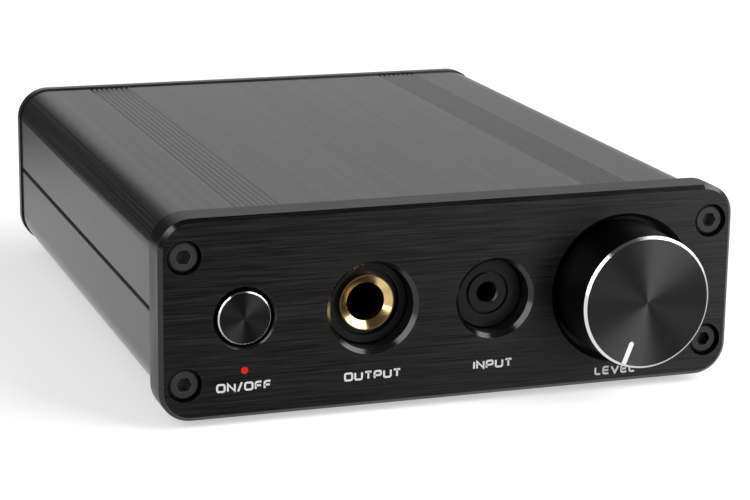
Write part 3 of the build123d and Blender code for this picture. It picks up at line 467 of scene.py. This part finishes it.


# slot: material name, colour, roughness, grain size, depth of the grain and, if any, tint of edges that are
# partly worn and partly a painted highlight
grainyFinishes = {
    "black_screw": (
        "blackOxideScrew", (0.024, 0.024, 0.0245), 0.34, 0.1 * mm, 0.003 * mm, (0.13, 0.13, 0.13)
    ),
    "foot_rubber": ("footRubber", (0.022, 0.022, 0.022), 0.72, 0.15 * mm, 0.02 * mm),
    "white_line": ("whitePaint", (0.82, 0.82, 0.81), 0.45, 0.1 * mm, 0.004 * mm),
    "black_plastic": ("blackPlastic", (0.006, 0.006, 0.0061), 0.3, 0.12 * mm, 0.006 * mm),
    "pale_plastic": ("palePlastic", (0.7, 0.7, 0.66), 0.42, 0.12 * mm, 0.006 * mm),
    "white_plastic": ("whitePlastic", (0.82, 0.82, 0.8), 0.32, 0.12 * mm, 0.004 * mm),
    "red_plastic": ("redPlastic", (0.52, 0.02, 0.016), 0.3, 0.12 * mm, 0.004 * mm),
    "board_green": ("boardLaminate", (0.02, 0.13, 0.05), 0.35, 0.25 * mm, 0.006 * mm),
    "capacitor_sleeve": ("capacitorSleeve", (0.02, 0.02, 0.05), 0.3, 0.2 * mm, 0.003 * mm),
    "chip_black": ("chipEpoxy", (0.03, 0.03, 0.03), 0.5, 0.1 * mm, 0.006 * mm),
    "ferrite": ("ferrite", (0.09, 0.085, 0.08), 0.55, 0.15 * mm, 0.01 * mm),
    "resistor_blue": ("resistorLacquer", (0.08, 0.25, 0.45), 0.3, 0.15 * mm, 0.003 * mm),
}
# slot: material name, colour, roughness, stretch of the drawn lines
drawnFinishes = {
    "bare_aluminium": ("milledAluminium", (0.74, 0.74, 0.75), 0.28, (900, 900, 60)),
    "plated_steel": ("nickelPlating", (0.66, 0.66, 0.64), 0.2, (900, 60, 900)),
    "contact_metal": ("springBronze", (0.78, 0.66, 0.42), 0.25, (900, 60, 900)),
    "gold_plate": ("goldPlating", (0.93, 0.66, 0.30), 0.13, (700, 700, 700)),
}


def makeFinishes():
    made = {
        "plate_anodised": makePlateMaterial("plateAnodised"),
        "shell_anodised": makeShellMaterial("shellAnodised"),
        "rear_anodised": makeRearMaterial("rearAnodised"),
        "red_lens": makeIndicatorMaterial("redLens"),
    }
    for slot, values in grainyFinishes.items():
        made[slot] = makeGrainyMaterial(*values)
    for slot, values in drawnFinishes.items():
        made[slot] = makeDrawnMaterial(*values)
    return made


finishes = makeFinishes()
turnedMaterials = {
    "volume_knob": makeTurnedMaterial("knobTurned", knobCentre, knobRadius, **knobFinish),
    "power_button": makeTurnedMaterial("buttonTurned", buttonCentre, buttonRadius, **buttonFinish),
}


def dressNodes():
    slots = {part["node"]: part["material_slot"] for part in frame["record"]["subparts"]}
    for name, node in frame["nodes"].items():
        material = turnedMaterials.get(name) or finishes[slots[name]]
        node.data.materials.clear()
        node.data.materials.append(material)


dressNodes()
print("materials on every node")


# lettering

# each letter is a few strokes on a box that is 1 high; the width comes first
letterShapes = {
    "O": (1.05, [[(0, 0), (1.05, 0), (1.05, 1), (0, 1), "close"]]),
    "N": (1.0, [[(0, 0), (0, 1), (1.0, 0), (1.0, 1)]]),
    "F": (0.82, [[(0, 0), (0, 1), (0.82, 1)], [(0, 0.48), (0.74, 0.48)]]),
    "P": (0.94, [[(0, 0), (0, 1), (0.94, 1), (0.94, 0.4), (0, 0.4)]]),
    "E": (0.84, [[(0.84, 1), (0, 1), (0, 0), (0.84, 0)], [(0, 0.5), (0.78, 0.5)]]),
    "L": (0.78, [[(0, 1), (0, 0), (0.78, 0)]]),
    "I": (0.0, [[(0, 0), (0, 1)]]),
    "T": (0.94, [[(0, 1), (0.94, 1)], [(0.47, 1), (0.47, 0)]]),
    "U": (1.0, [[(0, 1), (0, 0), (1.0, 0), (1.0, 1)]]),
    "V": (1.1, [[(0, 1), (0.55, 0), (1.1, 1)]]),
    "/": (0.55, [[(0, -0.14), (0.55, 1.14)]]),
}
lettering = {
    "height": 1.26 * mm,
    "stroke": 0.36 * mm,
    "gap": 0.58 * mm,
    "ink": 0.02 * mm,
    "cornerRound": 0.24,  # of the height
    "colour": (0.6, 0.6, 0.595),
}
# name, letters, middle, and rise above the plate's lower edge
words = [
    ("switchWord", "ON/OFF", buttonCentre.x - 0.15 * mm, 5.0 * mm),
    ("headphoneWord", "OUTPUT", phoneCentre.x + 0.05 * mm, 5.0 * mm),
    ("inputWord", "INPUT", lineCentre.x - 0.1 * mm, 5.05 * mm),
    ("knobWord", "LEVEL", knobCentre.x - 0.8 * mm, 1.85 * mm),
]
inkMaterial = makeGrainyMaterial("printedInk", lettering["colour"], 0.55, 0.08 * mm, 0.004 * mm)


def roundCorners(points, radius, closed):
    # replaces each square corner by a short arc
    rounded = []
    count = len(points)
    arcSteps = 4
    for index, corner in enumerate(points):
        if not closed and index in (0, count - 1):
            rounded.append(corner)
            continue
        before = (points[index - 1] - corner).normalized()
        after = (points[(index + 1) % count] - corner).normalized()
        if abs(before.dot(after)) > 0.2:
            rounded.append(corner)
            continue
        nearest = min((points[index - 1] - corner).length, (points[(index + 1) % count] - corner).length)
        reach = min(radius, 0.45 * nearest)
        middle = corner + reach * (before + after)
        for step in range(arcSteps + 1):
            turn = step / arcSteps * pi / 2
            rounded.append(middle - reach * (after * cos(turn) + before * sin(turn)))
    return rounded


def strokeSides(points, width, closed):
    # the left and right edges of a stroke, mitred where it turns
    left, right = [], []
    count = len(points)
    for index, point in enumerate(points):
        before = points[index] - points[index - 1] if index or closed else points[1] - points[0]
        after = points[(index + 1) % count] - points[index] if index < count - 1 or closed else before
        before, after = before.normalized(), after.normalized()
        across = Vector((-before.y, before.x)) + Vector((-after.y, after.x))
        across.normalize()
        half = width / 2 / max(0.5, across.dot(Vector((-after.y, after.x))))
        left.append(point + across * half)
        right.append(point - across * half)
    return left, right


def addStroke(mesh, points, closed, origin, faceY):
    # a flat band with square ends, as thick as the ink
    left, right = strokeSides(points, lettering["stroke"], closed)
    rings = []
    topY = faceY - lettering["ink"]
    for start, end in zip(left, right):
        ring = [(start, faceY), (end, faceY), (end, topY), (start, topY)]
        rings.append([mesh.verts.new((origin.x + side.x, y, origin.y + side.y)) for side, y in ring])
    pairs = list(zip(rings, rings[1:])) + ([(rings[-1], rings[0])] if closed else [])
    for first, second in pairs:
        for corner in range(4):
            follow = (corner + 1) % 4
            mesh.faces.new((first[corner], first[follow], second[follow], second[corner]))
    if not closed:
        mesh.faces.new(rings[0])
        mesh.faces.new(rings[-1][::-1])


def wordWidth(word):
    widths = [letterShapes[letter][0] * lettering["height"] for letter in word]
    return sum(widths) + lettering["gap"] * (len(word) - 1)


def printWord(name, word, middleX, bottomZ):
    mesh = bmesh.new()
    cursor = middleX - wordWidth(word) / 2
    for letter in word:
        width, strokes = letterShapes[letter]
        for stroke in strokes:
            closed = stroke[-1] == "close"
            points = [Vector(point) * lettering["height"] for point in stroke if point != "close"]
            points = roundCorners(points, lettering["cornerRound"] * lettering["height"], closed)
            addStroke(mesh, points, closed, Vector((cursor, bottomZ)), plateLow.y)
        cursor += width * lettering["height"] + lettering["gap"]
    bmesh.ops.recalc_face_normals(mesh, faces=mesh.faces)
    data = bpy.data.meshes.new(name)
    mesh.to_mesh(data)
    mesh.free()
    piece = bpy.data.objects.new(name, data)
    bpy.context.scene.collection.objects.link(piece)
    data.materials.append(inkMaterial)
    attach(piece, "housing")


for name, word, middleX, rise in words:
    printWord(name, word, middleX, plateLow.z + rise)
print("lettering:", len(words), "words")


# floor, lights and camera

studio = {
    "floorSize": 6,
    "floorColour": (0.82, 0.82, 0.82),
    "floorRough": 0.85,
    "floorLift": 0.45,  # brings the lit floor up to white
    "ambient": 0.3,
}
# what a shiny surface sees; a pair is where one thing fades into the next, as a direction from -1 to 1
shine = {
    "shade": 0.05,  # where the studio is dark
    "floor": 0.95,
    # painted shadow: the floor behind is darker in what shiny surfaces see, standing in for the object's own
    # shadow
    "shadedFloorBehind": 0.64,
    "behind": (-0.1, 0.3),
    "left": (-0.1, 0.06),
    "floorEnd": (0.11, 0.214),  # how far down the floor ends at the back, on the far left and nearer
    "floorEndSpan": (-0.37, -0.19),
    "horizon": (-0.02, 0.02),
    "darkFloor": 0.10,  # a patch in front
    "darkLeft": (-50, -32),  # its ends, in degrees from the front
    "darkRight": (19, 38),
    "darkNear": (-0.85, -0.6),
    "backdrop": 0.7,
    "backdropTop": (0.44, 0.56),
    "backdropLow": 0.66,  # its share of brightness low down
    "backdropRise": (0.2, 0.4),
    "backdropLeft": (-0.2, 0.13),
}


def makeFloor():
    bpy.ops.mesh.primitive_plane_add(size=studio["floorSize"])
    floor = bpy.context.object
    floor.name = "studioFloor"
    floor.visible_glossy = False  # the world stands in for it, so that it also shows far off
    material, tree, shader = newMaterial("paleFloor")
    shader.inputs["Base Color"].default_value = (*studio["floorColour"], 1)
    shader.inputs["Roughness"].default_value = studio["floorRough"]
    shader.inputs["Specular IOR Level"].default_value = 0.1
    glow = addNode(tree, "ShaderNodeEmission", {"Color": (1, 1, 1, 1)})
    path = addNode(tree, "ShaderNodeLightPath")
    seen = mathNode(tree, "MAXIMUM", path.outputs["Is Camera Ray"], path.outputs["Is Glossy Ray"])
    seen = mathNode(tree, "MAXIMUM", seen, path.outputs["Is Transmission Ray"])
    feed(tree, mathNode(tree, "MULTIPLY", seen, studio["floorLift"]), glow.inputs["Strength"])
    both = addNode(tree, "ShaderNodeAddShader")
    output = next(node for node in tree.nodes if node.type == "OUTPUT_MATERIAL")
    feed(tree, shader.outputs["BSDF"], both.inputs[0])
    feed(tree, glow.outputs[0], both.inputs[1])
    feed(tree, both.outputs[0], output.inputs["Surface"])
    floor.data.materials.append(material)


def shineFromStudio(tree):
    # a white floor, darker in front and darker behind as a painted shadow, and a white backdrop behind to the
    # right
    coords = addNode(tree, "ShaderNodeTexCoord")
    ray = addNode(tree, "ShaderNodeSeparateXYZ")
    feed(tree, coords.outputs["Generated"], ray.inputs[0])
    right, back, up = ray.outputs
    azimuth = mathNode(tree, "ARCTAN2", right, mathNode(tree, "MULTIPLY", back, -1.0))
    behind = spread(tree, back, 0, 1, *shine["behind"], smooth=True)
    left = spread(tree, right, 1, 0, *shine["left"], smooth=True)
    # the floor ends nearer on the left at the back
    endHeight = spread(tree, right, *shine["floorEnd"], *shine["floorEndSpan"])
    floorEnd = mathNode(tree, "MULTIPLY", mathNode(tree, "MULTIPLY", left, behind), endHeight)
    below = spread(tree, mathNode(tree, "ADD", up, floorEnd), 1, 0, *shine["horizon"], smooth=True)
    fromLeft = spread(tree, azimuth, 0, 1, *map(radians, shine["darkLeft"]), smooth=True)
    toRight = spread(tree, azimuth, 1, 0, *map(radians, shine["darkRight"]), smooth=True)
    near = spread(tree, up, 0, 1, *shine["darkNear"], smooth=True)
    front = mathNode(tree, "MULTIPLY", mathNode(tree, "MULTIPLY", fromLeft, toRight), near)
    # painted shadow: the floor is darker behind the object in reflections
    floorTone = spread(tree, behind, shine["floor"], shine["shadedFloorBehind"])
    floorMix = addNode(tree, "ShaderNodeMix", {"B": shine["darkFloor"]})
    feed(tree, front, floorMix.inputs["Factor"])
    feed(tree, floorTone, floorMix.inputs["A"])
    # the backdrop fades upwards and towards the left
    high = spread(tree, up, 1, 0, *shine["backdropTop"], smooth=True)
    rise = spread(tree, up, shine["backdropLow"], 1.0, *shine["backdropRise"])
    across = spread(tree, right, 0, 1, *shine["backdropLeft"], smooth=True)
    fade = mathNode(tree, "MULTIPLY", mathNode(tree, "MULTIPLY", high, rise), across)
    backdrop = mathNode(tree, "MULTIPLY", behind, fade)
    above = spread(tree, backdrop, shine["shade"], shine["backdrop"])
    mixed = addNode(tree, "ShaderNodeMix")
    feed(tree, below, mixed.inputs["Factor"])
    feed(tree, above, mixed.inputs["A"])
    feed(tree, floorMix.outputs[0], mixed.inputs["B"])
    return mixed.outputs[0]


def makeWorld():
    world = bpy.data.worlds.new("studioWorld")
    bpy.context.scene.world = world
    world.use_nodes = True
    tree = world.node_tree
    tree.nodes.clear()
    path = addNode(tree, "ShaderNodeLightPath")
    shiny = mathNode(tree, "MAXIMUM", path.outputs["Is Glossy Ray"], path.outputs["Is Transmission Ray"])
    lit = addNode(tree, "ShaderNodeMix", {"A": studio["ambient"]})
    feed(tree, shiny, lit.inputs["Factor"])
    feed(tree, shineFromStudio(tree), lit.inputs["B"])
    strength = addNode(tree, "ShaderNodeMix", {"B": 1.0})
    feed(tree, path.outputs["Is Camera Ray"], strength.inputs["Factor"])
    feed(tree, lit.outputs[0], strength.inputs["A"])
    background = addNode(tree, "ShaderNodeBackground", {"Color": (1, 1, 1, 1)})
    feed(tree, strength.outputs[0], background.inputs["Strength"])
    output = addNode(tree, "ShaderNodeOutputWorld")
    feed(tree, background.outputs[0], output.inputs["Surface"])


# upright soft panels: azimuth is in degrees from the front towards the right
lamps = {
    "leftPanel": dict(azimuth=-54, distance=0.8, low=0.02, high=1.1, width=0.37, radiance=4.0),
    "rightPanel": dict(azimuth=60, distance=0.9, low=0.03, high=1.35, width=1.22, radiance=4.2),
}


def makeLamp(name, azimuth, distance, low, high, width, radiance):
    data = bpy.data.lights.new(name, "AREA")
    data.shape = "RECTANGLE"
    data.size, data.size_y = width, high - low
    data.energy = radiance * pi * width * (high - low)
    lamp = bpy.data.objects.new(name, data)
    bpy.context.scene.collection.objects.link(lamp)
    away = Vector((sin(radians(azimuth)), -cos(radians(azimuth)), 0))
    lamp.location = Vector((plateX, plateLow.y, (low + high) / 2)) + distance * away
    lamp.rotation_euler = away.to_track_quat("Z", "Y").to_euler()


viewpoint = {
    "offset": Vector((-146.36, -374.15, 131.06)) * mm,  # from the middle of the plate's lower front edge
    "azimuth": -19.303,
    "elevation": 14.524,
    "roll": 0.86,
    "lens": 113.0,
}


def makeCamera():
    data = bpy.data.cameras.new("studioCamera")
    data.lens = viewpoint["lens"]
    data.sensor_width = 36.0
    data.clip_start = 0.01
    camera = bpy.data.objects.new("studioCamera", data)
    bpy.context.scene.collection.objects.link(camera)
    azimuth, elevation = radians(viewpoint["azimuth"]), radians(viewpoint["elevation"])
    back = Vector((sin(azimuth) * cos(elevation), -cos(azimuth) * cos(elevation), sin(elevation)))
    aim = back.to_track_quat("Z", "Y").to_matrix().to_4x4()
    roll = Matrix.Rotation(radians(viewpoint["roll"]), 4, "Z")
    place = Vector((plateX, plateLow.y, plateLow.z)) + viewpoint["offset"]
    camera.matrix_world = Matrix.Translation(place) @ aim @ roll
    bpy.context.scene.camera = camera


makeFloor()
makeWorld()
for name, lamp in lamps.items():
    makeLamp(name, **lamp)
makeCamera()
bpy.context.scene.view_settings.view_transform = "Standard"
print("stage, lamps and camera set")
